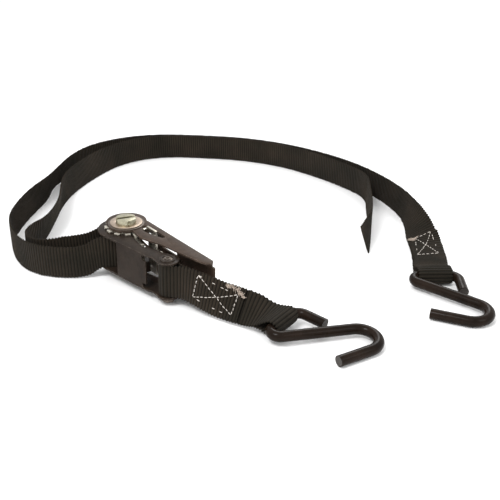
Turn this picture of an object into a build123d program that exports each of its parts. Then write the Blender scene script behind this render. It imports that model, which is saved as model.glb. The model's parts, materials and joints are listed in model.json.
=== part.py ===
from build123d import *
import os
from math import cos, radians, sin, tan

# Ratchet tie-down strap, laid out on the ground as it is shown off: ratchet on its side with the handle
# closed, webbing standing on edge in a wide loop, and an S-hook at each end.
# Millimetres, +Z up, ground at Z = 0, origin at the middle of the ratchet and hooks.

# ---------------------------------------------------------------- driving dimensions
WEB_W = 25.0  # webbing width
WEB_T = 1.4  # webbing thickness
SEWN_T = 2.9  # two layers sewn together
EDGE_Z = WEB_W / 2  # height of the centreline where webbing stands on edge

SPOOL_AT = (-119.3, 56.7, 21.3)  # middle of the spool
FRAME_AZ = -42.0  # direction of the frame's web, from the spool towards the bolt
HANDLE_AZ = -50.6  # direction of the closed handle
LOCK_AZ = -61.0  # line on which the lock pawl slides
SLOT_AZ = 25.0  # direction of the slot between the spool bars
PITCH = 2.0  # the ratchet dips this much towards its bolt end

# Layers of the ratchet, as distances from its middle plane along the spool's axis
FRAME_IN, FRAME_OUT = 12.8, 14.0
WHEEL_IN, WHEEL_OUT = 14.15, 15.95
HANDLE_IN, HANDLE_OUT = 16.2, 17.4
RIM_IN, RIM_OUT = 17.5, 18.1
DISC_OUT = 18.9
PIN_W = 19.85
BAR_END = 20.9  # lower end of the spool bars
BAR_TOP = 22.3

BAR_R = 7.4  # spool bars, together a slotted round
SLOT_W = 2.8
SHAFT_GAP = 0.08  # running clearance on the spool
COIL_R = 11.4  # webbing wound on the spool
RIM_R = 13.4
DISC_R = 11.9
PIN_R = 0.9

TEETH = 12
TOOTH_TIP_R = 16.0
TOOTH_ROOT_R = 12.6

FRAME_LOBE_AT = (-0.8, -0.7)  # along and across the frame
FRAME_LOBE_R = 19.8
FRAME_WEB = 20.4  # outer face of the frame's web, from the spool's axis
FRAME_T = 1.2
BOLT_AT = (60.0, -13.5)  # along and across the frame
EAR_R = 8.0
COLLAR_R = 5.4
COLLAR_H = 1.0
HANDLE_RING_R = 13.6  # the handle plate is narrow round the front of the spool
HANDLE_LOBE_AT = (-4.2, 2.7)  # and wider behind it
HANDLE_LOBE_R = 15.0
HANDLE_BACK = 15.5  # outer face of the grip, from the spool's axis
HANDLE_T = 1.2
WINDOW_HEIGHTS = (4.0, 12.8)  # windows in the grip, each side of the middle plane

BOLT_R = 2.5
SLEEVE_R = 4.0
BOLT_HEAD_R = 3.6
BOLT_HEAD_H = 0.5
BOLT_END_R = 2.4
BOLT_END_H = 1.2
SOCKET_R = 1.5
SOCKET_DEPTH = 0.9
NUT_R = 4.7
NUT_H = 3.0
PAWL_T = 2.4
SPRING_R = 1.7
SPRING_WIRE_R = 0.35
THREAD_R = 0.35
LOCK_SPAN = (13.4, 17.6, 20.0, 33.0)  # lock pawl: tooth tip, plate start, tooth root, outer end
LOCK_HALF = 13.6  # half width of the lock pawl's plate
LOCK_TRAVEL = 3.0
DRIVE_SPAN = (13.7, 20.0, 26.0, 40.0)  # drive pawl: tip, bridge start and end, finger tab end
DRIVE_INNER = (15.4, 12.4)  # the bridge widens inwards between the frame's plates, to this reach
DRIVE_OFF = 9.6  # the drive pawl's plate lies this far behind the handle's middle line
DRIVE_T = 1.7
DRIVE_EDGE = 0.5  # the drive pawl stands this proud of the handle

CORE_R = 3.2  # S-hook wire
COAT_R = 3.65  # over the vinyl
HOOK_CORNERS = [(25.5, 8.5), (11, 28), (-22, 0), (124.3, 0), (21, -31)]  # eye, shank and open leg
HOOK_RADII = [8, 6, 12.2]
HOOK_LEG_TURN = 16.7  # the open leg closes in on the shank by this much
HOOK_ORIGIN_OFF_LEG = 35.7  # distance of the hook's origin from the line of its open leg
EYE_MIDDLE = (-2.1, 16.85)
EYE_TURN = 40.3  # direction of the eye's straight side, from the shank
LOOP_R = 4.6  # inside of the sewn loop round an S-hook's eye
LOOP_W = 22.4  # the webbing bunches a little where it goes round the eye
FRONT_HOOK = ((-1.0, -48.7), 13.2, 4.0)  # place, azimuth of the shank, and tilt that lifts the eye
REAR_HOOK = ((98.9, 21.0), -40.9, 2.9)

# Routes of the long webbing where it stands on edge, seen from above
LOAD_ROUTE = [
    (-156, 43),
    (-171, 43.4),
    (-187, 48.6),
    (-202, 61),
    (-215, 83),
    (-223.5, 110),
    (-224.5, 140),
    (-222, 172),
    (-216, 205),
    (-217, 238),
    (-209.5, 270),
    (-196, 299),
    (-176, 321),
    (-150, 335.5),
    (-119, 341),
    (-77, 336),
    (-35, 328),
    (7, 308),
    (45, 277),
    (76, 241),
    (97, 202),
    (108, 168),
    (110.5, 148),
]
TAIL_ROUTE = [
    (-156, 67.8),
    (-167, 64.5),
    (-178.5, 58.4),
    (-191, 58.6),
    (-200.5, 70),
    (-200, 86),
    (-195, 104),
    (-194, 128),
    (-195.5, 155),
    (-199.5, 184),
    (-200, 214),
    (-194, 244),
    (-184, 275),
    (-170, 303),
    (-148, 325),
    (-117, 336.5),
    (-77, 332),
    (-36, 324),
    (5, 304),
    (39, 272),
    (66, 238),
    (86, 210),
    (80, 172),
    (73, 130),
    (67, 89),
]


# ---------------------------------------------------------------- directions and planes
def direction(azimuth, rise=0.0):
    """Unit vector at an azimuth from +X and a rise above the ground, in degrees."""
    a, r = radians(azimuth), radians(rise)
    return Vector(cos(a) * cos(r), sin(a) * cos(r), sin(r))


SPOOL_AXIS = direction(FRAME_AZ, 90 - PITCH)


def square_to(vector, normal):
    """The part of a vector that is square to a normal, as a unit vector."""
    return (vector - normal * vector.dot(normal)).normalized()


def ratchet_plane(azimuth, height=0.0):
    """Plane across the spool's axis, with X along an azimuth, at a height from the middle."""
    x_dir = square_to(direction(azimuth), SPOOL_AXIS)
    return Plane(origin=SPOOL_AT, x_dir=x_dir, z_dir=SPOOL_AXIS).offset(height)


def hook_plane(place, azimuth, tilt):
    """Plane of an S-hook: X along its shank, Y towards its eye, tilted about its open leg."""
    leg = azimuth + HOOK_LEG_TURN
    z_dir = direction(leg - 90, 90 - tilt)
    height = COAT_R + HOOK_ORIGIN_OFF_LEG * sin(radians(tilt))
    return Plane(origin=(*place, height), x_dir=square_to(direction(azimuth), z_dir), z_dir=z_dir)


def both_sides(inner, outer):
    """Start heights of a pair of equal layers, one each side of the middle plane."""
    return (inner, -outer)


# ---------------------------------------------------------------- ratchet frame
def frame_side():
    """Outline of a side plate: a lobe round the spool and an ear round the bolt."""
    with Locations(FRAME_LOBE_AT):
        Circle(FRAME_LOBE_R)
    Polygon(
        (-1, -FRAME_WEB),
        (45, -FRAME_WEB),
        (50, -19.2),
        (57, -20.5),
        (58, -6.0),
        (48, -9.0),
        (38, -9.6),
        (21, -4.5),
        (18.5, 4),
        (0, 10),
        align=None,
    )
    with Locations(BOLT_AT):
        Circle(EAR_R)


# Start height of the raised collar round the bolt, for each side plate
COLLAR_SIDES = {FRAME_IN: FRAME_OUT, -FRAME_OUT: -FRAME_OUT - COLLAR_H}

with BuildPart() as frame:
    for start in both_sides(FRAME_IN, FRAME_OUT):
        with BuildSketch(ratchet_plane(FRAME_AZ, start)):
            frame_side()
        extrude(amount=FRAME_OUT - FRAME_IN)
        with BuildSketch(ratchet_plane(FRAME_AZ, COLLAR_SIDES[start])):
            with Locations(BOLT_AT):
                Circle(COLLAR_R)
        extrude(amount=COLLAR_H)
    # web that joins the side plates, with a narrower tongue at its end
    for x_low, x_high, half in ((13, 40.5, FRAME_OUT), (39, 44.5, 9.0)):
        with BuildSketch(ratchet_plane(FRAME_AZ, -half)):
            with Locations(((x_low + x_high) / 2, -FRAME_WEB + FRAME_T / 2)):
                Rectangle(x_high - x_low, FRAME_T)
        extrude(amount=2 * half)
    # tab bent up from the web, which backs the lock pawl's spring
    with BuildSketch(ratchet_plane(LOCK_AZ, -4)):
        with Locations((40.1, -2.6)):
            Rectangle(1.2, 9.6)
    extrude(amount=8)
    # bores for the spool and bolt, and the lock pawl's slots
    with BuildSketch(ratchet_plane(FRAME_AZ, -FRAME_OUT)):
        Circle(BAR_R + SHAFT_GAP)
        with Locations(BOLT_AT):
            Circle(BOLT_R + 0.1)
    extrude(amount=2 * FRAME_OUT, mode=Mode.SUBTRACT)
    for start in both_sides(FRAME_OUT, FRAME_OUT + COLLAR_H):
        with BuildSketch(ratchet_plane(FRAME_AZ, start)):
            with Locations(BOLT_AT):
                Circle(BOLT_HEAD_R + 0.1)
        extrude(amount=COLLAR_H, mode=Mode.SUBTRACT)
    for start in both_sides(FRAME_IN, FRAME_OUT):
        with BuildSketch(ratchet_plane(LOCK_AZ, start)):
            slot_length = LOCK_SPAN[3] + LOCK_TRAVEL + 0.4 - (LOCK_SPAN[1] - 0.5)
            with Locations((LOCK_SPAN[1] - 0.5 + slot_length / 2, 0)):
                Rectangle(slot_length, PAWL_T + 0.6)
        extrude(amount=FRAME_OUT - FRAME_IN, mode=Mode.SUBTRACT)


# ---------------------------------------------------------------- handle
def handle_side():
    """Outline of a handle plate: a lobe round the spool and a long arm with a straight back."""
    Circle(HANDLE_RING_R)
    with Locations(HANDLE_LOBE_AT):
        Circle(HANDLE_LOBE_R)
    Polygon(
        (8, -11),
        (13.4, -2.4),
        (20, -3.8),
        (28, -4.4),
        (36, -1.8),
        (45, 1.4),
        (62, 4.0),
        (81, 7.3),
        (87, 9.4),
        (89, 12.0),
        (88.4, 14.4),
        (86.5, HANDLE_BACK),
        (5, HANDLE_BACK),
        (-4, 10),
        align=None,
    )


def drive_slot():
    """Outline of the drive pawl's slot, open enough to see past the pawl's plate."""
    Polygon(
        (10.6, 8.5),
        (13.8, 4.4),
        (20, 3.3),
        (27, 4.6),
        (36.5, 7.6),
        (37.3, 9.2),
        (36.4, DRIVE_OFF + 1.15),
        (11.6, DRIVE_OFF + 1.15),
        align=None,
    )


with BuildPart() as handle:
    for start in both_sides(HANDLE_IN, HANDLE_OUT):
        with BuildSketch(ratchet_plane(HANDLE_AZ, start)):
            handle_side()
        extrude(amount=HANDLE_OUT - HANDLE_IN)
    # grip web along the back, with a window beside each plate
    for x_low, x_high, half in ((17.2, 86.5, HANDLE_OUT), (86.4, 89.4, 13.0)):
        with BuildSketch(ratchet_plane(HANDLE_AZ, -half)):
            with Locations(((x_low + x_high) / 2, HANDLE_BACK - HANDLE_T / 2)):
                Rectangle(x_high - x_low, HANDLE_T)
        extrude(amount=2 * half)
    for start in both_sides(*WINDOW_HEIGHTS):
        with BuildSketch(ratchet_plane(HANDLE_AZ, start)):
            with Locations((36, HANDLE_BACK)):
                Rectangle(18, 4)
        extrude(amount=WINDOW_HEIGHTS[1] - WINDOW_HEIGHTS[0], mode=Mode.SUBTRACT)
    # tab bent in from the grip, which backs the drive pawl's spring
    with BuildSketch(ratchet_plane(HANDLE_AZ, -4)):
        with Locations((51.1, 11.3)):
            Rectangle(1.2, 7.4)
    extrude(amount=8)
    with BuildSketch(ratchet_plane(HANDLE_AZ, -HANDLE_OUT)):
        Circle(BAR_R + SHAFT_GAP)
    extrude(amount=2 * HANDLE_OUT, mode=Mode.SUBTRACT)
    for start in both_sides(HANDLE_IN, HANDLE_OUT):
        with BuildSketch(ratchet_plane(HANDLE_AZ, start)):
            drive_slot()
        extrude(amount=HANDLE_OUT - HANDLE_IN, mode=Mode.SUBTRACT)


# ---------------------------------------------------------------- spool
def spool_bar(side):
    """Half-round bar on one side of the slot, drilled near both ends for the retaining pins."""
    with BuildPart() as bar:
        with BuildSketch(ratchet_plane(SLOT_AZ, -BAR_END)):
            Circle(BAR_R)
            with Locations((0, side * (SLOT_W / 2 + BAR_R))):
                Rectangle(2 * BAR_R, 2 * BAR_R, mode=Mode.INTERSECT)
        extrude(amount=BAR_END + BAR_TOP)
        for height in (-PIN_W, PIN_W):
            with BuildSketch(pin_plane(height)):
                Circle(PIN_R)
            extrude(amount=2 * BAR_R, both=True, mode=Mode.SUBTRACT)
    return bar.part


def pin_plane(height):
    """Plane across a retaining pin, at the middle of the spool's end."""
    middle = ratchet_plane(SLOT_AZ, height)
    return Plane(origin=middle.origin, x_dir=middle.x_dir, z_dir=middle.y_dir)


def ring(start, thickness, outer_r, inner_r):
    """Flat ring on the spool's axis."""
    with BuildPart() as flat_ring:
        with BuildSketch(ratchet_plane(SLOT_AZ, start)):
            Circle(outer_r)
            Circle(inner_r, mode=Mode.SUBTRACT)
        extrude(amount=thickness)
    return flat_ring.part


def ratchet_wheel(start):
    """Toothed wheel. Each gap has a steep side that the lock pawl holds and a side that it slips over."""
    with BuildPart() as wheel:
        with BuildSketch(ratchet_plane(LOCK_AZ, start)):
            Circle(TOOTH_TIP_R)
            with PolarLocations(0, TEETH):
                Polygon(
                    (TOOTH_ROOT_R, -1.5),
                    (TOOTH_TIP_R + 1, -2.9),
                    (TOOTH_TIP_R + 1, 1.7),
                    (TOOTH_ROOT_R, 1.5),
                    align=None,
                    mode=Mode.SUBTRACT,
                )
            Circle(BAR_R, mode=Mode.SUBTRACT)
        extrude(amount=WHEEL_OUT - WHEEL_IN)
    return wheel.part


spool_parts = {
    "spool_bar_front": spool_bar(-1),
    "spool_bar_back": spool_bar(1),
    "ratchet_wheel_upper": ratchet_wheel(WHEEL_IN),
    "ratchet_wheel_lower": ratchet_wheel(-WHEEL_OUT),
    "rim_washer_upper": ring(RIM_IN, RIM_OUT - RIM_IN, RIM_R, BAR_R),
    "rim_washer_lower": ring(-RIM_OUT, RIM_OUT - RIM_IN, RIM_R, BAR_R),
    "end_disc_upper": ring(RIM_OUT, DISC_OUT - RIM_OUT, DISC_R, BAR_R),
    "end_disc_lower": ring(-DISC_OUT, DISC_OUT - RIM_OUT, DISC_R, BAR_R),
}

with BuildPart() as retaining_pins:
    for pin_height in (-PIN_W, PIN_W):
        with BuildSketch(pin_plane(pin_height)):
            Circle(PIN_R)
        extrude(amount=BAR_R + 1.6, both=True)

with BuildPart() as spool_wrap:
    with BuildSketch(ratchet_plane(SLOT_AZ, -EDGE_Z + 0.2)):
        Circle(COIL_R)
        Circle(BAR_R + 0.02, mode=Mode.SUBTRACT)
        Rectangle(2 * BAR_R + 1, WEB_T)
    extrude(amount=WEB_W - 0.4)


# ---------------------------------------------------------------- pawls and their springs
def pawl_layer(azimuth, off, thickness, near, far, low, high):
    """Add a straight block of a pawl, at a distance off its line, between two reaches and two heights."""
    with BuildSketch(ratchet_plane(azimuth, low)) as block:
        with Locations(((near + far) / 2, off)):
            Rectangle(far - near, thickness)
    extrude(block.sketch, amount=high - low)


with BuildPart() as lock_pawl:
    tip, plate, root, end = LOCK_SPAN
    pawl_layer(LOCK_AZ, 0, PAWL_T, plate, end, -LOCK_HALF, LOCK_HALF)
    for start in both_sides(WHEEL_IN, WHEEL_OUT):
        pawl_layer(LOCK_AZ, 0, PAWL_T, tip, root, start, start + WHEEL_OUT - WHEEL_IN)
    for near, far in ((plate, root), (end - 1.6, end)):
        pawl_layer(LOCK_AZ, 0, PAWL_T, near, far, -WHEEL_IN - 0.3, WHEEL_IN + 0.3)

with BuildPart() as drive_pawl:
    tip, bridge, end, tab_end = DRIVE_SPAN
    drive_top = HANDLE_OUT + DRIVE_EDGE
    pawl_layer(HANDLE_AZ, DRIVE_OFF, DRIVE_T, bridge, end, -drive_top, drive_top)
    inner_reach, inner_half = DRIVE_INNER
    pawl_layer(HANDLE_AZ, DRIVE_OFF, DRIVE_T, inner_reach, bridge, -inner_half, inner_half)
    pawl_layer(HANDLE_AZ, DRIVE_OFF, DRIVE_T, end, tab_end, -3.6, 3.6)
    for start in both_sides(WHEEL_IN, drive_top):
        pawl_layer(HANDLE_AZ, DRIVE_OFF, DRIVE_T, tip, bridge, start, start + drive_top - WHEEL_IN)


def pawl_spring(azimuth, off, near, far):
    """Compression spring behind a pawl, at a distance off its line, between two reaches."""
    line = ratchet_plane(azimuth)
    inset = SPRING_WIRE_R + 0.1
    with BuildPart() as spring:
        with BuildLine():
            coil = Helix(
                pitch=1.5,
                height=far - near - 2 * inset,
                radius=SPRING_R,
                center=line.from_local_coords(Vector(near + inset, off, 0)),
                direction=line.x_dir,
            )
        with BuildSketch(Plane(origin=coil @ 0, z_dir=coil % 0)):
            Circle(SPRING_WIRE_R)
        sweep(is_frenet=True)
    return spring.part


# ---------------------------------------------------------------- anchor bolt
bolt_plane = ratchet_plane(FRAME_AZ)

with BuildPart() as anchor_bolt:
    with BuildSketch(bolt_plane.offset(FRAME_OUT)):
        with Locations(BOLT_AT):
            Circle(BOLT_R)
    extrude(amount=-2 * FRAME_OUT - COLLAR_H - NUT_H - 0.3)
    for radius, height in ((BOLT_HEAD_R, BOLT_HEAD_H), (BOLT_END_R, BOLT_END_H)):
        with BuildSketch(bolt_plane.offset(FRAME_OUT)):
            with Locations(BOLT_AT):
                Circle(radius)
        extrude(amount=height)
    with BuildSketch(bolt_plane.offset(FRAME_OUT + BOLT_END_H)):
        with Locations(BOLT_AT):
            RegularPolygon(SOCKET_R, 6)
    extrude(amount=-SOCKET_DEPTH, mode=Mode.SUBTRACT)

with BuildPart() as anchor_nut:
    with BuildSketch(bolt_plane.offset(-FRAME_OUT - COLLAR_H)):
        with Locations(BOLT_AT):
            RegularPolygon(NUT_R, 6)
            Circle(BOLT_R, mode=Mode.SUBTRACT)
    extrude(amount=-NUT_H)

with BuildPart() as anchor_sleeve:
    with BuildSketch(bolt_plane.offset(-FRAME_IN + 0.1)):
        with Locations(BOLT_AT):
            Circle(SLEEVE_R)
            Circle(BOLT_R, mode=Mode.SUBTRACT)
    extrude(amount=2 * (FRAME_IN - 0.1))


# ---------------------------------------------------------------- S-hooks
def hook_sweep(plane, outer_r, inner_r=0.0):
    """Round or hollow section swept along an S-hook's centreline."""
    with BuildPart() as swept:
        with BuildLine(plane):
            path = FilletPolyline(*HOOK_CORNERS, radius=HOOK_RADII)
        with BuildSketch(Plane(origin=path @ 0, z_dir=path % 0)):
            Circle(outer_r)
            if inner_r:
                Circle(inner_r, mode=Mode.SUBTRACT)
        sweep()
    return swept.part


def eye_plane(plane):
    """Plane across the straight side of a hook's eye: X away from the hook, Z along the eye."""
    along = (plane.x_dir * cos(radians(EYE_TURN)) + plane.y_dir * sin(radians(EYE_TURN))).normalized()
    away = plane.z_dir.cross(along)
    middle = plane.from_local_coords(Vector(*EYE_MIDDLE, 0))
    return Plane(origin=middle, x_dir=away, z_dir=along)


front_plane = hook_plane(*FRONT_HOOK)
rear_plane = hook_plane(*REAR_HOOK)


# ---------------------------------------------------------------- webbing
def strip(plane, thickness, width=WEB_W):
    """Cross-section of flat webbing, with its width along the plane's X."""
    with BuildSketch(plane) as section:
        Rectangle(width, thickness)
    return section.sketch


def across(point, heading, lean):
    """Section plane at a point. The width stands at a lean from level, left edge up, as seen along."""
    width = direction(heading + 90) * cos(radians(lean)) + Vector(0, 0, 1) * sin(radians(lean))
    return Plane(origin=point, x_dir=width, z_dir=direction(heading))


def sewn_loop(plane, inner_r, tail, width):
    """Add a loop of webbing round a bar along the plane's Z, closing into two layers towards +X."""
    with BuildSketch(plane.offset(-width / 2)) as loop:
        Circle(inner_r + WEB_T)
        with Locations((tail / 2, 0)):
            Rectangle(tail, SEWN_T)
        Circle(inner_r, mode=Mode.SUBTRACT)
    extrude(loop.sketch, amount=width)


def corner_radii(route):
    """Arc radius at each corner: 0.45 of the shorter run, divided by the tangent of half the turn."""
    points = [Vector(*p) for p in route]
    runs = [b - a for a, b in zip(points, points[1:])]
    return [
        0.45 * min(a.length, b.length) / tan(radians(a.get_angle(b) / 2)) for a, b in zip(runs, runs[1:])
    ]


def edge_ribbon(route, name):
    """Add webbing standing on edge along a route on the ground."""
    radii = corner_radii(route)
    with BuildSketch(Plane.XY) as plan:
        with BuildLine():
            line = FilletPolyline(*route, radius=radii)
        trace(line_width=WEB_T)
    extrude(plan.sketch, amount=WEB_W)
    print(name, "radii", [round(r, 1) for r in radii], "standing length", round(line.length, 1))


STRAP_R = COIL_R + 0.3 + WEB_T / 2  # centreline of the webbing that meets the spool


def spool_lead(side, start):
    """Add webbing from an arc on the wound spool, out of the ratchet, down to a route's first point."""
    mouth = -20.8
    width = WEB_W - 0.6
    with BuildSketch(ratchet_plane(0, -width / 2)) as lead:
        with BuildLine():
            Line((mouth, side * STRAP_R), (0, side * STRAP_R))
            CenterArc((0, 0), STRAP_R, side * 90, -side * 35)
        trace(line_width=WEB_T)
    extrude(lead.sketch, amount=width)
    high = ratchet_plane(0).from_local_coords(Vector(mouth + 0.3, side * STRAP_R, 0))
    low = Vector(start[0] - 0.2, start[1], EDGE_Z)
    ends = [Plane(origin=point, x_dir=(0, 0, 1), z_dir=(-1, 0, 0)) for point in (high, low)]
    loft([strip(ends[0], WEB_T, width), strip(ends[1], WEB_T)], ruled=True)


with BuildPart() as load_strap:
    edge_ribbon(LOAD_ROUTE, "load_strap")
    spool_lead(-1, LOAD_ROUTE[0])
    # towards the rear hook it twists to lie flat
    rear_eye = eye_plane(rear_plane)
    sewn_loop(rear_eye, LOOP_R, 18, LOOP_W)
    loop_end = rear_eye.from_local_coords(Vector(17.5, 0, 0))
    rear_sections = [
        strip(across(Vector(110.5, 148.2, EDGE_Z), -83, 90), WEB_T),
        strip(across(Vector(112.5, 130, 11.5), -84, 62), WEB_T),
        strip(across(Vector(114.4, 111, 7.0), -87, 27), WEB_T),
        strip(across(Vector(115, 103, 5.0), -89, 15), SEWN_T),
        strip(across(Vector(115, 95, 3.2), -91, 6), SEWN_T),
        strip(across(Vector(113, 74, 3.4), -95, 1), SEWN_T),
        strip(across(loop_end, -90.6, 0), SEWN_T, LOOP_W),
    ]
    loft(rear_sections, ruled=True)

with BuildPart() as tail_strap:
    edge_ribbon(TAIL_ROUTE, "tail_strap")
    spool_lead(1, TAIL_ROUTE[0])

with BuildPart() as short_strap:
    bolt_middle = bolt_plane.from_local_coords(Vector(*BOLT_AT, 0))
    bolt_away = square_to(direction(-32), SPOOL_AXIS)
    bolt_loop = Plane(origin=bolt_middle, x_dir=bolt_away, z_dir=SPOOL_AXIS)
    sewn_loop(bolt_loop, SLEEVE_R + 0.2, 9, WEB_W)
    front_eye = eye_plane(front_plane)
    sewn_loop(front_eye, LOOP_R, 9, LOOP_W)
    eye_end = front_eye.from_local_coords(Vector(8.6, 0, 0))
    short_sections = [
        strip(across(bolt_middle + bolt_away * 8.6, -32, 90), SEWN_T),
        strip(across(Vector(-53, -11, 13.4), -27, 64), SEWN_T),
        strip(across(Vector(-27, -21.5, 10.5), -24, 42), SEWN_T),
        strip(across(eye_end, -36.5, 5), SEWN_T, LOOP_W),
    ]
    loft(short_sections, ruled=True)


def box_stitch(corners, lift):
    """Add the stitch lines of a sewn box with its two diagonals, on one face of a strap."""
    a, b, c, d = [corner + lift for corner in corners]
    for start, end in ((a, b), (b, c), (c, d), (d, a), (a, c), (b, d)):
        run = end - start
        with BuildSketch(Plane(origin=start, z_dir=run)) as thread:
            Circle(THREAD_R)
        extrude(thread.sketch, amount=run.length)


def box_corners(near, far, half_width):
    """Corners of a stitched box between two section planes of a strap."""
    return [
        near.from_local_coords(Vector(-half_width, 0, 0)),
        near.from_local_coords(Vector(half_width, 0, 0)),
        far.from_local_coords(Vector(half_width, 0, 0)),
        far.from_local_coords(Vector(-half_width, 0, 0)),
    ]


with BuildPart() as short_stitching:
    near = across(Vector(-63, -5, 15.3), -29, 73)
    far = across(Vector(-40, -16.3, 12.0), -25, 53)
    face = (near.y_dir + far.y_dir).normalized() * (SEWN_T / 2 + 0.1)
    for side in (-1, 1):
        box_stitch(box_corners(near, far, 9.5), face * side)

with BuildPart() as rear_stitching:
    near = across(Vector(114.6, 108, 6.3), -88, 22)
    far = across(Vector(113.6, 80, 3.3), -95, 2)
    face = (near.y_dir + far.y_dir).normalized() * (SEWN_T / 2 + 0.1)
    for side in (-1, 1):
        box_stitch(box_corners(near, far, 9.5), face * side)


# ---------------------------------------------------------------- export
nodes = {
    "frame": frame.part,
    "handle": handle.part,
    **spool_parts,
    "retaining_pins": retaining_pins.part,
    "spool_wrap": spool_wrap.part,
    "lock_pawl": lock_pawl.part,
    "lock_pawl_spring": pawl_spring(LOCK_AZ, 0, LOCK_SPAN[3], 39.5),
    "drive_pawl": drive_pawl.part,
    "drive_pawl_spring": pawl_spring(HANDLE_AZ, DRIVE_OFF, DRIVE_SPAN[3], 50.5),
    "anchor_bolt": anchor_bolt.part,
    "anchor_nut": anchor_nut.part,
    "anchor_sleeve": anchor_sleeve.part,
    "short_strap": short_strap.part,
    "short_stitching": short_stitching.part,
    "load_strap": load_strap.part,
    "tail_strap": tail_strap.part,
    "rear_stitching": rear_stitching.part,
    "front_hook_wire": hook_sweep(front_plane, CORE_R),
    "front_hook_coating": hook_sweep(front_plane, COAT_R, CORE_R),
    "rear_hook_wire": hook_sweep(rear_plane, CORE_R),
    "rear_hook_coating": hook_sweep(rear_plane, COAT_R, CORE_R),
}

os.makedirs("parts", exist_ok=True)
for node_name, node_part in nodes.items():
    node_part.label = node_name
    export_step(node_part, f"parts/{node_name}.step")
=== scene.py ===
import json
import random
from math import ceil, cos, pi, radians, sin, tau

import bmesh
import bpy
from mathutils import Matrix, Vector


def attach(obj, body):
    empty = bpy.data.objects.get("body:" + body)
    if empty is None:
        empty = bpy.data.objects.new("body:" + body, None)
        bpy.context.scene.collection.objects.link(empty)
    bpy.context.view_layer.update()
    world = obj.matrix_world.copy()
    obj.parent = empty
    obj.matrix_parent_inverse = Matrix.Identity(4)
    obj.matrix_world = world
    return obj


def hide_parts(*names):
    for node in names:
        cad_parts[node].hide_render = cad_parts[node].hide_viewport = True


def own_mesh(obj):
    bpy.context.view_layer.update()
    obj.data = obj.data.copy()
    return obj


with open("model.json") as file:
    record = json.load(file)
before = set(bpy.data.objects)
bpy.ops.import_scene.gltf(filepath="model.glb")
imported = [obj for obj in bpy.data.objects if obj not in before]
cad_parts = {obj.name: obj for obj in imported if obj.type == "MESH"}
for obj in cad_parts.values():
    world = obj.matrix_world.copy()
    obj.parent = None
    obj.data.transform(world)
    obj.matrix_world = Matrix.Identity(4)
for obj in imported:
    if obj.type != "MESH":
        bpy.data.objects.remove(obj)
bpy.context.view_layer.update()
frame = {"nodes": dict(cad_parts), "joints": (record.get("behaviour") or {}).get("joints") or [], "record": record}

# Ratchet tie-down strap. Metres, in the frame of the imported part: +Z up, the floor at Z = 0.

UP = Vector((0, 0, 1))

# ---------------------------------------------------------------- sizes
WEB_W = 0.025  # width of the webbing
WEB_T = 0.0014  # its thickness
RIB = 0.0024  # spacing of the ribs that run across the webbing
RIB_RISE = 0.00030  # height of a rib on each face, from groove to crest
SCALLOP = 0.0008  # how far each rib's loop stands out at the edges
SHEAR = 0.85  # share of shear, rather than edgewise bend, where the webbing's middle rises or falls
RING = RIB / 6  # spacing of the cross-sections along the webbing
FACE_POINTS = 15  # points across each face of the webbing
EDGE_ROUND = 0.55  # thickness at the selvedge, as a part of the middle's
WARP = 0.0011  # width of a warp yarn

THREAD_R = 0.00021  # radius of the sewing thread
STITCH = 0.0021  # length of a stitch
STITCH_GAP = 0.0011  # gap from one stitch to the next
THREAD_LIFT = 0.00012  # how far the stitches' line lies off the webbing's face

EDGE_BEVEL = 0.00018  # rounding of the metal pieces' edges
BOLT_LOOP = 0.0062  # radius of the short strap's turn round the bolt's sleeve
EYE_LOOP = 0.0057  # radius of its turn round the front hook's eye
FLOOR_Z = -0.0004  # a hair under the lowest ribs

joints = {joint["name"]: joint for joint in frame["joints"]}
SPOOL = Vector(joints["spool_turn"]["pos_m"])
SPOOL_AXIS = Vector(joints["spool_turn"]["axis"])
BOLT = Vector(joints["short_strap_swing"]["pos_m"])
FRONT_EYE = Vector(joints["front_hook_swing"]["pos_m"])
FRONT_AXIS = Vector(joints["front_hook_swing"]["axis"])
REAR_EYE = Vector(joints["rear_hook_swing"]["pos_m"])
REAR_AXIS = Vector(joints["rear_hook_swing"]["axis"])


def direction(azimuth):
    """Level unit vector at an azimuth from +X, in degrees."""
    return Vector((cos(radians(azimuth)), sin(radians(azimuth)), 0))


def leaning(heading, lean):
    """The webbing's width direction: left edge up at a lean from level, as seen along a heading."""
    return direction(heading + 90) * cos(radians(lean)) + UP * sin(radians(lean))


# ---------------------------------------------------------------- camera
CAMERA_PLACE = (-0.027, -0.450, 0.253)
CAMERA_PITCH = 65  # degrees from looking straight down
CAMERA_LENS = 53.3  # mm


def add_camera():
    data = bpy.data.cameras.new("camera")
    data.lens = CAMERA_LENS
    camera = bpy.data.objects.new("camera", data)
    camera.location = CAMERA_PLACE
    camera.rotation_euler = (radians(CAMERA_PITCH), 0, 0)
    bpy.context.collection.objects.link(camera)
    bpy.context.scene.camera = camera


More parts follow.
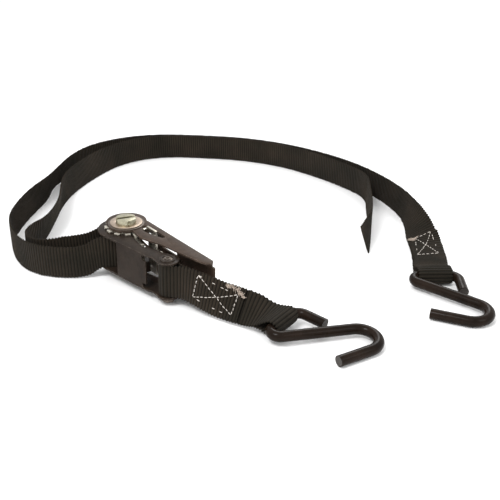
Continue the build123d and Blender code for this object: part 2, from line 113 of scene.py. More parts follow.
# ---------------------------------------------------------------- routes of the webbing
# The control points of each length's spline, with the direction of the webbing's width at each.
# The load side leaves the spool, runs round the outside of the loop and lies flat at the rear hook.
LOAD_ROUTE = [
    ((-0.1193, 0.0443, 0.0209), SPOOL_AXIS),
    ((-0.1300, 0.0443, 0.0212), SPOOL_AXIS),
    ((-0.1390, 0.0442, 0.0202), SPOOL_AXIS),
    ((-0.1465, 0.0436, 0.0146), UP),
    ((-0.156, 0.0430, 0.0125), UP),
    ((-0.171, 0.0434, 0.0125), UP),
    ((-0.187, 0.0486, 0.0125), UP),
    ((-0.202, 0.061, 0.0125), UP),
    ((-0.215, 0.083, 0.0125), UP),
    ((-0.2235, 0.110, 0.0125), UP),
    ((-0.2245, 0.140, 0.0125), UP),
    ((-0.222, 0.172, 0.0124), UP),
    ((-0.216, 0.205, 0.0123), leaning(88, 99)),
    ((-0.217, 0.238, 0.0119), leaning(86, 112)),
    ((-0.2095, 0.270, 0.0123), leaning(70, 100)),
    ((-0.196, 0.299, 0.0125), UP),
    ((-0.176, 0.321, 0.0125), UP),
    ((-0.150, 0.3355, 0.0125), UP),
    ((-0.119, 0.341, 0.0125), UP),
    ((-0.077, 0.336, 0.0125), UP),
    ((-0.035, 0.328, 0.0125), UP),
    ((0.007, 0.308, 0.0125), UP),
    ((0.045, 0.277, 0.0125), UP),
    ((0.076, 0.241, 0.0125), UP),
    ((0.097, 0.202, 0.0125), leaning(-66, 90)),
    ((0.108, 0.168, 0.0124), leaning(-78, 84)),
    ((0.1105, 0.148, 0.0122), leaning(-83, 76)),
    ((0.1125, 0.130, 0.0108), leaning(-84, 58)),
    ((0.1145, 0.112, 0.0064), leaning(-87, 26)),
    ((0.115, 0.096, 0.0026), leaning(-91, 6)),
    ((0.113, 0.074, 0.0024), leaning(-95, 1)),
]
# The tail leaves beside it, runs round the inside of the loop and leans where it is cut.
TAIL_ROUTE = [
    ((-0.1193, 0.0691, 0.0215), SPOOL_AXIS),
    ((-0.1300, 0.0691, 0.0216), SPOOL_AXIS),
    ((-0.1390, 0.0691, 0.0204), SPOOL_AXIS),
    ((-0.1465, 0.0686, 0.0148), UP),
    ((-0.156, 0.0678, 0.0125), UP),
    ((-0.167, 0.0645, 0.0125), UP),
    ((-0.1785, 0.0584, 0.0125), UP),
    ((-0.191, 0.0586, 0.0125), UP),
    ((-0.2005, 0.070, 0.0125), UP),
    ((-0.200, 0.086, 0.0125), leaning(80, 86)),
    ((-0.195, 0.104, 0.0123), leaning(80, 102)),
    ((-0.194, 0.128, 0.0122), leaning(90, 106)),
    ((-0.1955, 0.155, 0.0122), leaning(95, 105)),
    ((-0.1995, 0.184, 0.0124), leaning(94, 95)),
    ((-0.200, 0.214, 0.0125), leaning(86, 85)),
    ((-0.194, 0.244, 0.0124), leaning(76, 82)),
    ((-0.184, 0.275, 0.0124), leaning(68, 80)),
    ((-0.170, 0.303, 0.0125), leaning(52, 85)),
    ((-0.148, 0.325, 0.0125), UP),
    ((-0.117, 0.3365, 0.0125), UP),
    ((-0.077, 0.332, 0.0125), UP),
    ((-0.036, 0.324, 0.0125), UP),
    ((0.005, 0.304, 0.0125), UP),
    ((0.039, 0.272, 0.0125), UP),
    ((0.066, 0.238, 0.0125), UP),
    ((0.0832, 0.2085, 0.0125), UP),
    ((0.0795, 0.172, 0.0124), leaning(-92, 85)),
    ((0.0760, 0.131, 0.0125), leaning(-97, 87)),
    ((0.0715, 0.108, 0.0124), leaning(-108, 95)),
    ((0.0645, 0.087, 0.0121), leaning(-112, 107)),
]

# Round an S-hook's eye, as (away from the hook, up) from the eye's middle: under it and back over.
EYE_TURN = [
    (0.013, -0.0046),
    (0.005, -0.0058),
    (-0.0040, -0.0054),
    (-0.0065, 0.0002),
    (-0.0036, 0.0056),
    (0.005, 0.0052),
    (0.013, 0.0012),
]
# The sewn end lies on the strap, back from the eye towards the stitched box.
REAR_RETURN = [
    ((0.1130, 0.0660, 0.0043), leaning(-95, 1)),
    ((0.1148, 0.0880, 0.0042), leaning(-91, 4)),
    ((0.1150, 0.0990, 0.0056), leaning(-89, 12)),
    ((0.1147, 0.1060, 0.0074), leaning(-88, 22)),
]


SPLINE_STEPS = 40  # points read from each part of a spline


def read_spline(places):
    """Points along the NURBS spline that has these control points."""
    curve = bpy.data.curves.new("route", "CURVE")
    curve.dimensions = "3D"
    curve.resolution_u = SPLINE_STEPS
    spline = curve.splines.new("NURBS")
    spline.points.add(len(places) - 1)
    for point, place in zip(spline.points, places):
        point.co = (*place, 1.0)
    spline.order_u = 3
    spline.use_endpoint_u = True
    bare = bpy.data.objects.new("route", curve)
    mesh = bpy.data.meshes.new_from_object(bare)
    points = [vertex.co.copy() for vertex in mesh.vertices]
    bpy.data.meshes.remove(mesh)
    bpy.data.curves.remove(curve)
    return points


class Lay:
    """How a length of webbing lies: evenly spaced middles, with heading, width and normal."""

    def __init__(self, route):
        line = read_spline([place for place, _ in route])
        widths = read_spline([width for _, width in route])
        along = [0.0]
        for a, b in zip(line, line[1:]):
            along.append(along[-1] + (b - a).length)
        self.length = along[-1]
        self.count = ceil(self.length / RING) + 1
        self.middles, self.widths, i = [], [], 0
        for n in range(self.count):
            s = self.distance(n)
            while i < len(line) - 2 and along[i + 1] < s:
                i += 1
            t = (s - along[i]) / max(along[i + 1] - along[i], 1e-9)
            self.middles.append(line[i].lerp(line[i + 1], t))
            self.widths.append(widths[i].lerp(widths[i + 1], t))
        self.headings, self.normals = [], []
        for n in range(self.count):
            ahead = self.middles[min(n + 1, self.count - 1)] - self.middles[max(n - 1, 0)]
            heading = ahead.normalized()
            # only partly square to the heading, since the webbing shears
            width = self.widths[n] - heading * (self.widths[n].dot(heading) * (1 - SHEAR))
            self.widths[n] = width.normalized()
            self.headings.append(heading)
            self.normals.append(heading.cross(self.widths[n]).normalized())

    def distance(self, n):
        """Distance along to the middle of this number."""
        return self.length * n / (self.count - 1)

    def number(self, s):
        """Number of the middle nearest to a distance along."""
        return min(max(round(s / self.length * (self.count - 1)), 0), self.count - 1)

    def at(self, s, across, lift):
        """Point at a distance along, an offset across, and a lift off the thickness's middle."""
        n = self.number(s)
        return self.middles[n] + self.widths[n] * across + self.normals[n] * lift

    def nearest(self, place, start=0.0):
        """How far along it comes nearest to a place, from a part of its length on."""
        span = range(round(start * (self.count - 1)), self.count - 1)
        return self.distance(min(span, key=lambda n: (self.middles[n] - Vector(place)).length))


# ---------------------------------------------------------------- webbing meshes
WANDER_STEP = 0.006  # size of the unevenness along the edges
SCALLOP_MIDDLE = 0.85  # how far out in a scallop's swing the webbing has its full width
SCALLOP_WANDER = 0.3  # unevenness of the edges, as a part of a scallop
SELVEDGE_POWER = 6  # how abruptly the thickness falls off towards the edges
CUT_REACH = 0.03  # length of the last end that a slanted cut draws in or out


def smooth_noise(seed, step):
    """A repeatable wavy function of distance, between -1 and 1, with features about step long."""
    waves = random.Random(seed)
    parts = [(waves.uniform(0.6, 1.7) / step, waves.uniform(0, tau)) for _ in range(5)]
    return lambda s: sum(sin(pi * rate * s + phase) for rate, phase in parts) / 5


def webbing(name, lay, seed, width=WEB_W, slant=0.0):
    """Ribbed webbing along a lay, with scalloped edges.

    slant is how much further back the last end is cut at the edge that the width points to.
    """
    wander = [smooth_noise(seed + k, WANDER_STEP) for k in (0, 1)]
    across = [-cos(pi * k / (FACE_POINTS - 1)) for k in range(FACE_POINTS)]
    vertices, uvs = [], []
    for n in range(lay.count):
        s = lay.distance(n)
        swell = 0.5 + 0.5 * cos(tau * s / RIB)
        cut = slant * max(0.0, 1 - (lay.length - s) / CUT_REACH) ** 2
        edges = [
            width / 2 + SCALLOP * (swell - SCALLOP_MIDDLE + SCALLOP_WANDER * wander[k](s))
            for k in (0, 1)
        ]
        for side in (1, -1):
            for t in across if side == 1 else across[::-1]:
                reach = edges[1] if t > 0 else edges[0]
                shape = 1 - (1 - EDGE_ROUND) * abs(t) ** SELVEDGE_POWER
                lift = side * (WEB_T / 2 * shape + RIB_RISE * (swell - 0.5) * shape)
                place = lay.middles[n] + lay.widths[n] * (t * reach) + lay.normals[n] * lift
                vertices.append(place - lay.headings[n] * (cut * (1 + t) / 2))
                uvs.append((s, t * width / 2))
    return cloth_piece(name, vertices, uvs, lay.count)


def cloth_piece(name, vertices, uvs, rings):
    """A closed strip through rings of 2 * FACE_POINTS points, with the cloth's UV map."""
    around = 2 * FACE_POINTS
    faces = []
    for n in range(rings - 1):
        for k in range(around):
            a, b = n * around + k, n * around + (k + 1) % around
            faces.append((a, b, b + around, a + around))
    for start, flip in ((0, True), ((rings - 1) * around, False)):
        for k in range(FACE_POINTS - 1):
            low, high = start + k, start + around - 1 - k
            quad = (low, low + 1, high - 1, high)
            faces.append(quad[::-1] if flip else quad)
    mesh = bpy.data.meshes.new(name)
    mesh.from_pydata(vertices, [], faces)
    cloth_map = mesh.uv_layers.new(name="cloth")
    for loop in mesh.loops:
        cloth_map.data[loop.index].uv = uvs[loop.vertex_index]
    bm = bmesh.new()
    bm.from_mesh(mesh)
    bmesh.ops.recalc_face_normals(bm, faces=bm.faces)
    bm.to_mesh(mesh)
    bm.free()
    mesh.shade_smooth()
    return add_object(name, mesh)


def add_object(name, mesh):
    piece = bpy.data.objects.new(name, mesh)
    bpy.context.collection.objects.link(piece)
    return piece


def square_to(axis, azimuth):
    """Unit vector square to an axis, towards an azimuth."""
    towards = direction(azimuth)
    return (towards - axis * towards.dot(axis)).normalized()


def eye_route(middle, axis, azimuth):
    """Route points round an S-hook's eye, which the strap leaves towards an azimuth."""
    away = square_to(axis, azimuth)
    lift = axis.cross(away)
    lift = lift if lift.z > 0 else -lift
    return [(middle + away * a + lift * h, axis) for a, h in EYE_TURN]


def loop_turn(centre, away, across, axis, radius):
    """Route points round a bar, from its across side to the other. The strap leaves along away."""
    turns = [radians(angle) for angle in (52, 90, 128, 164, 196, 232, 270, 308)]
    return [(centre + (away * cos(t) + across * sin(t)) * radius, axis) for t in turns]


def layer(lay, lift, start, end, count):
    """Route points along one face of another lay, from one part of its length to another."""
    places = []
    for k in range(count):
        n = round((start + (end - start) * k / (count - 1)) * (lay.count - 1))
        places.append((lay.middles[n] + lay.normals[n] * lift, lay.widths[n]))
    return places


SLOT_AZIMUTH = 25  # direction of the slot between the spool's two bars
WOUND_START, WOUND_STEP = 14, 30  # degrees round the spool to the first point, and between points
WOUND_REACH, WOUND_GROWTH = 0.0086, 0.00024  # their distance from its axis, and how much it grows
WOUND_POINTS = 10


def wound_route():
    """The webbing through the spool's slot, with an arm of each end wound round the spool."""
    along = square_to(SPOOL_AXIS, SLOT_AZIMUTH)
    side = SPOOL_AXIS.cross(along)
    arm = [(0.0030, 0.0), (0.0068, 0.0)]
    for k in range(WOUND_POINTS):
        turn = radians(WOUND_START + WOUND_STEP * k)
        reach = WOUND_REACH + WOUND_GROWTH * k
        arm.append((reach * cos(turn), reach * sin(turn)))
    both = [(-x, -y) for x, y in arm[::-1]] + arm
    return [(SPOOL + along * x + side * y, SPOOL_AXIS) for x, y in both]


# ---------------------------------------------------------------- thread
TUBE_END = 0.6  # radius at a tube's ends, as a part of its own


def add_tube(mesh_data, points, radius, sides=6):
    """Add a closed tube through these points to the (vertices, faces) of a mesh."""
    vertices, faces = mesh_data
    start = len(vertices)
    for n, point in enumerate(points):
        ahead = points[min(n + 1, len(points) - 1)] - points[max(n - 1, 0)]
        turn = ahead.normalized().to_track_quat("Z", "Y")
        size = radius * (TUBE_END if n in (0, len(points) - 1) else 1.0)
        for k in range(sides):
            angle = tau * k / sides
            vertices.append(point + turn @ Vector((size * cos(angle), size * sin(angle), 0)))
    for n in range(len(points) - 1):
        for k in range(sides):
            a, b = start + n * sides + k, start + n * sides + (k + 1) % sides
            faces.append((a, b, b + sides, a + sides))
    last = start + (len(points) - 1) * sides
    faces.append(tuple(range(start + sides - 1, start - 1, -1)))
    faces.append(tuple(range(last, last + sides)))


def mesh_piece(name, mesh_data):
    mesh = bpy.data.meshes.new(name)
    mesh.from_pydata(mesh_data[0], [], mesh_data[1])
    mesh.shade_smooth()
    return add_object(name, mesh)


# Where a stitch starts and ends in its share of a line, and how far each place varies.
STITCH_FROM, STITCH_FROM_VARY = 0.12, 0.04
STITCH_TO, STITCH_TO_VARY = 0.80, 0.05
STITCH_ASIDE = 0.00016  # how far a stitch lies off its line at most
STITCH_STEPS = 5
# A stitch's rise in the middle and its dip where it goes in, as parts of the thread's radius.
STITCH_RISE, STITCH_DIP = 1.5, 0.9


def between(a, b, part):
    """The (along, across) place at a part of the way from one to another."""
    return a[0] + (b[0] - a[0]) * part, a[1] + (b[1] - a[1]) * part


def sew(mesh_data, lay, a, b, lift, rng, kept=1.0):
    """Add a line of stitches on one face of a lay, between two (along, across) places.

    kept is the share of them that shows.
    """
    run = ((b[0] - a[0]) ** 2 + (b[1] - a[1]) ** 2) ** 0.5
    count = max(2, round(run / (STITCH + STITCH_GAP)))
    side = 1 if lift > 0 else -1
    for k in range(count):
        t0 = (k + STITCH_FROM + rng.uniform(-STITCH_FROM_VARY, STITCH_FROM_VARY)) / count
        t1 = (k + STITCH_TO + rng.uniform(-STITCH_TO_VARY, STITCH_TO_VARY)) / count
        off = rng.uniform(-STITCH_ASIDE, STITCH_ASIDE)
        if rng.random() > kept:
            continue
        points = []
        for m in range(STITCH_STEPS + 1):
            u = m / STITCH_STEPS
            s, across = between(a, b, t0 + (t1 - t0) * u)
            rise = THREAD_R * (STITCH_RISE * sin(pi * u) ** 0.5 - STITCH_DIP)
            points.append(lay.at(s, across + off, lift + side * rise))
        add_tube(mesh_data, points, THREAD_R)


def sew_box(name, lay, corners, lift, seed, long_sides):
    """A stitched box with both diagonals, on both faces, with (along, across) corners in order.

    Part of the long sides' thread has sunk into the webbing: long_sides is the share that shows.
    """
    rng = random.Random(seed)
    mesh_data = ([], [])
    a, b, c, d = corners
    for face in (lift, -lift):
        for start, end in ((a, b), (c, d), (a, c), (b, d)):
            sew(mesh_data, lay, start, end, face, rng)
        for start, end in ((b, c), (d, a)):
            sew(mesh_data, lay, start, end, face, rng, long_sides)
    return mesh_piece(name, mesh_data)


# Ranges that each loose end of thread is drawn from.
FRAY_STRAY = 0.0005  # how far along it starts from the arc
FRAY_DEPTH = (0.55, 1.05)  # where it starts, as a part of the lift
FRAY_TURN = 1.1  # radians from the webbing's heading
FRAY_BEND = 0.6  # sideways bend and
FRAY_RISE = (0.05, 0.45)  # rise off the face, as parts of its length
FRAY_LENGTH = (0.0010, 0.0026)
FRAY_R = (0.00012, 0.00021)
FRAY_STEPS = 4
FRAY_ARCH = 0.8  # the part of an arch that it makes


def fray(name, lay, arc, lift, count, seed):
    """Loose ends of thread along an arc of (along, across) places: curls off the webbing's face."""
    rng = random.Random(seed)
    mesh_data = ([], [])
    for _ in range(count):
        spot = rng.uniform(0, len(arc) - 1.001)
        s, across = between(arc[int(spot)], arc[int(spot) + 1], spot - int(spot))
        s += rng.uniform(-FRAY_STRAY, FRAY_STRAY)
        root = lay.at(s, across, lift * rng.uniform(*FRAY_DEPTH))
        n = lay.number(s)
        turn = rng.uniform(-FRAY_TURN, FRAY_TURN)
        along = lay.headings[n] * cos(turn) + lay.widths[n] * sin(turn)
        normal = lay.normals[n] * (1 if lift > 0 else -1)
        bend = rng.uniform(-FRAY_BEND, FRAY_BEND)
        length, rise = rng.uniform(*FRAY_LENGTH), rng.uniform(*FRAY_RISE)
        points = []
        for k in range(FRAY_STEPS + 1):
            u = k / FRAY_STEPS
            aside = lay.widths[n] * (bend * length * u * u)
            up = normal * (rise * length * sin(pi * u * FRAY_ARCH))
            points.append(root + along * (length * u) + aside + up)
        add_tube(mesh_data, points, rng.uniform(*FRAY_R), 5)
    return mesh_piece(name, mesh_data)


# ---------------------------------------------------------------- materials
class Maker:
    """A material with a Principled shader, and short ways to add nodes to it."""

    def __init__(self, name, color, roughness, metallic=0.0):
        self.material = bpy.data.materials.new(name)
        self.material.use_nodes = True
        self.tree = self.material.node_tree
        self.shader = self.tree.nodes["Principled BSDF"]
        self.shader.inputs["Base Color"].default_value = (*color, 1)
        self.shader.inputs["Roughness"].default_value = roughness
        self.shader.inputs["Metallic"].default_value = metallic

    def node(self, kind, **values):
        made = self.tree.nodes.new(kind)
        for key, value in values.items():
            setattr(made, key, value)
        return made

    def link(self, source, target):
        self.tree.links.new(source, target)

    def math(self, operation, a, b=None):
        made = self.node("ShaderNodeMath", operation=operation)
        for slot, value in zip(made.inputs, (a, b)):
            if value is None:
                continue
            if isinstance(value, (int, float)):
                slot.default_value = value
            else:
                self.link(value, slot)
        return made.outputs[0]

    def noise(self, scale, detail=3.0, stretch=(1, 1, 1)):
        """Noise over the object's own coordinates, in metres."""
        place = self.node("ShaderNodeTexCoord").outputs["Object"]
        mapping = self.node("ShaderNodeMapping")
        mapping.inputs["Scale"].default_value = stretch
        self.link(place, mapping.inputs["Vector"])
        made = self.node("ShaderNodeTexNoise")
        made.inputs["Scale"].default_value = scale
        made.inputs["Detail"].default_value = detail
        self.link(mapping.outputs[0], made.inputs["Vector"])
        return made.outputs["Fac"]

    def ramp(self, value, low, high, from_color, to_color):
        """Colours between two values."""
        made = self.node("ShaderNodeValToRGB")
        ends = made.color_ramp.elements
        ends[0].position, ends[1].position = low, high
        ends[0].color, ends[1].color = (*from_color, 1), (*to_color, 1)
        self.link(value, made.inputs[0])
        return made.outputs[0]

    def spread(self, value, low, high, to_low, to_high):
        """A value moved from one range to another."""
        made = self.node("ShaderNodeMapRange")
        for slot, number in zip(list(made.inputs)[1:5], (low, high, to_low, to_high)):
            slot.default_value = number
        self.link(value, made.inputs[0])
        return made.outputs[0]

    def mix(self, amount, a, b):
        """Two colours mixed by a value."""
        made = self.node("ShaderNodeMix", data_type="RGBA")
        self.link(amount, made.inputs["Factor"])
        for slot, value in ((made.inputs[6], a), (made.inputs[7], b)):
            if isinstance(value, tuple):
                slot.default_value = (*value, 1)
            else:
                self.link(value, slot)
        return made.outputs[2]

    def set(self, **inputs):
        """Set the shader's inputs, named with _ for each space."""
        for name, value in inputs.items():
            self.shader.inputs[name.replace("_", " ")].default_value = value

    def color(self, source):
        self.link(source, self.shader.inputs["Base Color"])

    def roughness(self, source):
        self.link(source, self.shader.inputs["Roughness"])

    def bump(self, height, depth, strength=1.0):
        """Bump from a height, which stands for this depth in metres."""
        made = self.node("ShaderNodeBump")
        made.inputs["Strength"].default_value = strength
        made.inputs["Distance"].default_value = depth
        self.link(height, made.inputs["Height"])
        self.link(made.outputs[0], self.shader.inputs["Normal"])

    def worn_edges(self, radius):
        """About 1 along outside edges, from how a rounded normal leaves the surface's own."""
        bevel = self.node("ShaderNodeBevel")
        bevel.samples = 4
        bevel.inputs["Radius"].default_value = radius
        own = self.node("ShaderNodeNewGeometry").outputs["Normal"]
        dot = self.node("ShaderNodeVectorMath", operation="DOT_PRODUCT")
        self.link(bevel.outputs[0], dot.inputs[0])
        self.link(own, dot.inputs[1])
        return self.spread(dot.outputs["Value"], 0.97, 0.80, 0, 1)


def webbing_material():
    """Black polyester: ribs across, finer warp yarns along, painted shade in the grooves, a faint sheen, slight
    brown fading.
    """
    made = Maker("webbing", (0.016, 0.0135, 0.011), 0.78)
    made.set(Sheen_Weight=0.03, Sheen_Roughness=0.5, Specular_IOR_Level=0.05)
    uv = made.node("ShaderNodeSeparateXYZ")
    made.link(made.node("ShaderNodeUVMap", uv_map="cloth").outputs[0], uv.inputs[0])
    column = made.math("DIVIDE", uv.outputs[1], WARP)
    rib = made.math("ADD", made.math("DIVIDE", uv.outputs[0], RIB), 0.5)
    yarn = made.math("ABSOLUTE", made.math("SINE", made.math("MULTIPLY", column, pi)))
    rise = made.math("ABSOLUTE", made.math("SINE", made.math("MULTIPLY", rib, pi)))
    weave = made.math("MULTIPLY", made.math("ADD", yarn, 0.8), made.math("POWER", rise, 0.8))
    fuzz = made.noise(2600, 2)
    made.bump(made.math("ADD", weave, made.math("MULTIPLY", fuzz, 0.35)), 0.00024)
    fade = made.noise(38, 4)
    cloth = made.ramp(fade, 0.35, 0.75, (0.0165, 0.0140, 0.0100), (0.032, 0.0245, 0.0175))
    # painted shade: the weave's grooves are darkened towards a near-black colour, for the shade that falls in them
    painted_groove_shade = made.spread(weave, 0.15, 1.0, 0.0, 1.0)
    made.color(made.mix(painted_groove_shade, (0.0034, 0.0030, 0.0022), cloth))
    made.roughness(made.spread(fuzz, 0.3, 0.7, 0.66, 0.85))
    return made.material


def thread_material(name, color, roughness, scale, dark, light):
    """Sewing thread, mottled from dark to light at a noise's scale."""
    made = Maker(name, color, roughness)
    made.color(made.ramp(made.noise(scale, 2), 0.3, 0.7, dark, light))
    made.bump(made.noise(5200, 1), 0.00006)
    return made.material


def shade(color, amount):
    return tuple(c * amount for c in color)


def painted_steel(name, color, worn):
    """Semi-gloss paint with fine orange peel, dust, rubbed patches and bare steel on its edges."""
    made = Maker(name, color, 0.45)
    made.set(Specular_IOR_Level=0.10, Coat_Weight=0.02, Coat_Roughness=0.3)
    patches = made.noise(120, 5)
    paint = made.ramp(patches, 0.3, 0.72, shade(color, 0.72), shade(color, 1.35))
    rubbed = made.worn_edges(0.00035)
    edge = made.math("MULTIPLY", rubbed, made.spread(made.noise(420, 4), 0.42, 0.62, 0, 1))
    made.color(made.mix(edge, paint, worn))
    made.roughness(made.spread(made.noise(700, 4), 0.25, 0.75, 0.36, 0.58))
    made.bump(made.noise(1600, 3), 0.00004, 0.6)
    return made.material


def plated_steel(name, color, dark, roughness):
    """Bare or plated steel: cloudy, with darker oily specks, tinted by each piece's own colour."""
    made = Maker(name, color, roughness, 1.0)
    clouds = made.noise(260, 5)
    plate = made.ramp(clouds, 0.3, 0.7, shade(color, 0.78), color)
    specks = made.spread(made.noise(1900, 3), 0.60, 0.72, 0, 0.75)
    tinted = made.node("ShaderNodeMix", data_type="RGBA", blend_type="MULTIPLY")
    tinted.inputs["Factor"].default_value = 1.0
    made.link(made.mix(specks, plate, dark), tinted.inputs[6])
    made.link(made.node("ShaderNodeObjectInfo").outputs["Color"], tinted.inputs[7])
    made.color(tinted.outputs[2])
    made.roughness(made.spread(made.noise(600, 4), 0.3, 0.7, roughness - 0.1, roughness + 0.12))
    made.bump(made.noise(2400), 0.00003, 0.7)
    return made.material


def vinyl_material():
    """Dipped vinyl: glossy brown-black skin with soft runs and a few dull scuffs."""
    made = Maker("vinyl", (0.018, 0.010, 0.008), 0.28)
    made.set(Specular_IOR_Level=0.06, Coat_Weight=0.04, Coat_Roughness=0.06)
    cloudy = made.noise(90)
    made.color(made.ramp(cloudy, 0.3, 0.7, (0.0075, 0.0048, 0.0032), (0.017, 0.0105, 0.0072)))
    made.roughness(made.spread(made.noise(420, 5, (1, 1, 0.4)), 0.56, 0.68, 0.24, 0.5))
    made.bump(made.noise(170, 2), 0.00012, 0.5)
    return made.material


def cut_steel_material():
    """Dark cut end of the hook's wire, with saw marks."""
    made = Maker("cut_steel", (0.025, 0.020, 0.018), 0.6, 0.15)
    marks = made.noise(1400, 3, (1, 5, 1))
    made.color(made.ramp(marks, 0.3, 0.7, (0.014, 0.011, 0.009), (0.050, 0.041, 0.035)))
    made.bump(marks, 0.00006)
    return made.material


MATERIALS = {
    "webbing": webbing_material(),
    "thread": thread_material(
        "thread", (0.72, 0.66, 0.60), 0.75, 900, (0.55, 0.49, 0.43), (0.86, 0.81, 0.76)
    ),
    "frayed": thread_material(
        "frayed_thread", (0.5, 0.4, 0.33), 0.85, 1500, (0.20, 0.155, 0.12), (0.62, 0.52, 0.44)
    ),
    # painted light: frame_paint and handle_paint are one paint at two brightnesses, the handle's lit top made
    # lighter and the frame's sides darker
    "frame_paint": painted_steel("frame_paint", (0.021, 0.0145, 0.0105), (0.30, 0.25, 0.21)),
    "handle_paint": painted_steel("handle_paint", (0.046, 0.031, 0.0225), (0.34, 0.28, 0.23)),
    "zinc": plated_steel("zinc", (0.62, 0.58, 0.50), (0.20, 0.17, 0.13), 0.34),
    "bolt_steel": plated_steel("bolt_steel", (0.15, 0.125, 0.105), (0.05, 0.04, 0.035), 0.42),
    "spring_steel": plated_steel("spring_steel", (0.48, 0.45, 0.40), (0.15, 0.12, 0.10), 0.3),
    "hook_core": cut_steel_material(),
    "vinyl": vinyl_material(),
}


# ---------------------------------------------------------------- floor and light
def add_stage():
    bpy.ops.mesh.primitive_plane_add(size=6, location=(0, 0, FLOOR_Z))
    floor = bpy.context.object
    floor.name = "floor"
    made = Maker("floor", (0.95, 0.95, 0.95), 0.9)
    made.set(Specular_IOR_Level=0.1)
    floor.data.materials.append(made.material)


WORLD_STRENGTH = 1.02
LIGHT_TARGET = Vector((0, 0.1, 0))
# name, place, size in metres, power in watts
LIGHTS = (
    ("key", (-0.5, -0.5, 1.1), 0.45, 10),
    ("fill", (0.8, -0.6, 0.8), 0.7, 3),
    ("back", (0.2, 1.2, 1.0), 0.6, 6),
)


def add_area_light(name, place, size, power):
    data = bpy.data.lights.new(name, "AREA")
    data.shape = "DISK"
    data.size = size
    data.energy = power
    light = bpy.data.objects.new(name, data)
    light.location = place
    light.rotation_euler = (LIGHT_TARGET - Vector(place)).to_track_quat("-Z", "Y").to_euler()
    bpy.context.collection.objects.link(light)


def add_light():
    world = bpy.data.worlds.new("studio")
    bpy.context.scene.world = world
    world.use_nodes = True
    background = world.node_tree.nodes["Background"]
    background.inputs["Color"].default_value = (1.0, 1.0, 1.0, 1)
    background.inputs["Strength"].default_value = WORLD_STRENGTH
    for light in LIGHTS:
        add_area_light(*light)
    bpy.context.scene.view_settings.view_transform = "Standard"


# ---------------------------------------------------------------- build
def finish_with(piece, material):
    piece.data.materials.clear()
    piece.data.materials.append(MATERIALS[material])


def dress(piece, body, slot, *nodes, material=None):
    """Give a new piece its body and its material, by default the one named by its slot, and hide the CAD nodes it
    stands for.
    """
    finish_with(piece, material or slot)
    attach(piece, body)
    if nodes:
        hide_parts(*nodes)
    return piece


def copied(node, ending):
    """A copy of a CAD piece, for changing its mesh."""
    source = frame["nodes"][node]
    mesh = source.data.copy()
    mesh.name = node + ending
    piece = add_object(node + ending, mesh)
    piece.matrix_world = source.matrix_world.copy()
    return piece, mesh


# Angles in degrees: faces closer than this are one, edges past this are rounded or shaded sharp.
FLAT_ANGLE, ROUNDED_ANGLE, SHARP_ANGLE = 1.0, 38, 30


def detailed(node, body, tint):
    """A copy of a CAD piece with its sharp edges rounded, which stands for it."""
    piece, mesh = copied(node, "_detail")
    bm = bmesh.new()
    bm.from_mesh(mesh)
    bmesh.ops.remove_doubles(bm, verts=bm.verts, dist=1e-6)
    bmesh.ops.dissolve_limit(bm, angle_limit=radians(FLAT_ANGLE), verts=bm.verts, edges=bm.edges)
    limit = radians(ROUNDED_ANGLE)
    sharp = [e for e in bm.edges if e.is_manifold and e.calc_face_angle(0) > limit]
    bmesh.ops.bevel(
        bm, geom=sharp, offset=EDGE_BEVEL, segments=2, profile=0.5, affect="EDGES",
        clamp_overlap=True,
    )
    bmesh.ops.triangulate(bm, faces=[f for f in bm.faces if len(f.verts) > 4])
    bm.to_mesh(mesh)
    bm.free()
    piece.color = (*tint, 1)
    mesh.shade_smooth()
    mesh.set_sharp_from_angle(angle=radians(SHARP_ANGLE))
    dress(piece, body, slots[node], node)


def sprung(node, body):
    """A smooth-shaded copy of a pawl's spring, with a mesh of its own, which stands for it."""
    piece, mesh = copied(node, "_coil")
    mesh.shade_smooth()
    dress(piece, body, slots[node], node)
    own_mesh(piece)


add_camera()
slots = {part["node"]: part["material_slot"] for part in frame["record"]["subparts"]}

# the load side, with its sewn end round the rear hook's eye
load_lay = Lay(LOAD_ROUTE + eye_route(REAR_EYE, REAR_AXIS, 90) + REAR_RETURN)
load_webbing = dress(webbing("load_webbing", load_lay, 3), "root", "webbing", "load_strap")

# its box, on the return layer: from the return's end to the hook
SEWN_END = 0.96  # the return layer lies past this part of the length
near = load_lay.nearest((0.1147, 0.104, 0.006), SEWN_END)
far = load_lay.nearest((0.1136, 0.080, 0.0045), SEWN_END)
rear_box = [
    (near + 0.0022, 0.0069),
    (near, -0.0069),
    (far - 0.0068, -0.0096),
    (far - 0.0042, 0.0074),
]
rear_seam = dress(
    sew_box("rear_seam", load_lay, rear_box, WEB_T / 2 + THREAD_LIFT, 22, 0.3),
    "root", "thread", "rear_stitching",
)
rear_arc = [(near - 0.0002, -0.0112), (near - 0.0032, -0.0090), (near - 0.0014, -0.0062)]
rear_fray = dress(
    fray("rear_fray", load_lay, rear_arc, -(WEB_T / 2 + 0.0004), 110, 32),
    "root", "thread", material="frayed",
)

# the tail side, with its free cut end
tail_lay = Lay(TAIL_ROUTE)
tail_webbing = dress(
    webbing("tail_webbing", tail_lay, 5, slant=-0.003), "root", "webbing", "tail_strap"
)

# the short strap: one length round the bolt's sleeve, on to the front hook's eye and back
bolt_away = square_to(SPOOL_AXIS, -32)
eye_away = square_to(FRONT_AXIS, 143)
eye_width = FRONT_AXIS if FRONT_AXIS.dot(direction(54)) > 0 else -FRONT_AXIS
SHORT_ROUTE = [
    (BOLT + bolt_away * 0.0100, SPOOL_AXIS),
    (BOLT + bolt_away * 0.0200, leaning(-32, 84)),
    (Vector((-0.0500, -0.0125, 0.0131)), leaning(-27, 64)),
    (Vector((-0.0360, -0.0190, 0.0118)), leaning(-25, 52)),
    (Vector((-0.0210, -0.0245, 0.0100)), leaning(-26, 34)),
    (FRONT_EYE + eye_away * 0.0100, eye_width),
]
spine = Lay(SHORT_ROUTE)
bolt_side = bolt_away.cross(SPOOL_AXIS)
eye_side = (-eye_away).cross(eye_width)
LAYER = WEB_T / 2 + 0.00005  # from the middle of the two layers to the middle of one
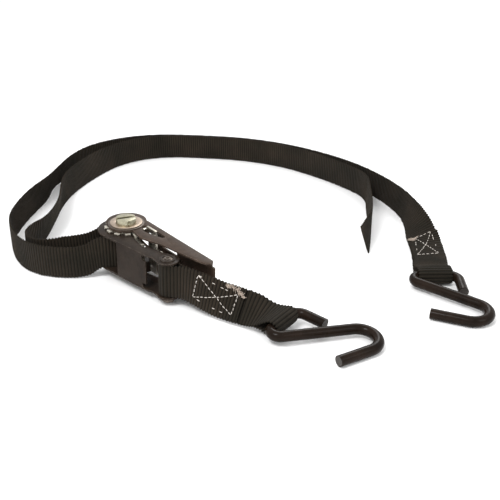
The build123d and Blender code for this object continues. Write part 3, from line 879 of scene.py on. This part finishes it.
short_route = (
    layer(spine, LAYER, 0.72, 0.03, 6)
    + loop_turn(BOLT, bolt_away, bolt_side, SPOOL_AXIS, BOLT_LOOP)
    + layer(spine, -LAYER, 0.03, 0.97, 7)
    + loop_turn(FRONT_EYE, eye_away, -eye_side, eye_width, EYE_LOOP)
    + layer(spine, LAYER, 0.97, 0.74, 3)
)
short_lay = Lay(short_route)
dress(
    webbing("short_webbing", short_lay, 8, width=0.0246), "short_strap", "webbing", "short_strap"
)

# its box, through both layers
box_near = spine.nearest((-0.063, -0.005, 0.0153))
box_far = spine.nearest((-0.037, -0.0182, 0.0118))
short_box = [
    (box_near - 0.0020, -0.0066),
    (box_near + 0.0005, 0.0100),
    (box_far + 0.001, 0.0064),
    (box_far, -0.0080),
]
dress(
    sew_box("short_seam", spine, short_box, WEB_T + THREAD_LIFT, 21, 0.22),
    "short_strap", "thread", "short_stitching",
)
short_arc = [
    (box_far - 0.0090, 0.0102),
    (box_far - 0.0044, 0.0104),
    (box_far + 0.0008, 0.0088),
    (box_far + 0.0045, 0.0053),
]
dress(
    fray("short_fray", spine, short_arc, WEB_T + 0.0003, 120, 31),
    "short_strap", "thread", material="frayed",
)

# the webbing wound on the spool
dress(
    webbing("wound_webbing", Lay(wound_route()), 13, width=0.0244), "spool", "webbing", "spool_wrap"
)

# the metal, each with its body and the tint of its plating
UNTINTED, PINKISH, GREENISH = (1, 1, 1), (0.80, 0.69, 0.63), (0.74, 0.75, 0.64)
for body, tint, nodes in (
    ("root", UNTINTED, ("frame",)),
    ("handle", UNTINTED, ("handle",)),
    ("spool", UNTINTED, ("ratchet_wheel_upper", "ratchet_wheel_lower")),
    ("spool", UNTINTED, ("rim_washer_upper", "rim_washer_lower")),
    ("spool", PINKISH, ("end_disc_upper", "end_disc_lower")),
    ("spool", GREENISH, ("spool_bar_front", "spool_bar_back", "retaining_pins")),
    ("lock_pawl", UNTINTED, ("lock_pawl",)),
    ("drive_pawl", UNTINTED, ("drive_pawl",)),
    ("root", UNTINTED, ("anchor_bolt", "anchor_nut")),
):
    for node in nodes:
        detailed(node, body, tint)

sprung("drive_pawl_spring", "handle")
sprung("lock_pawl_spring", "root")

for node, piece in frame["nodes"].items():
    finish_with(piece, slots[node])

add_stage()
add_light()
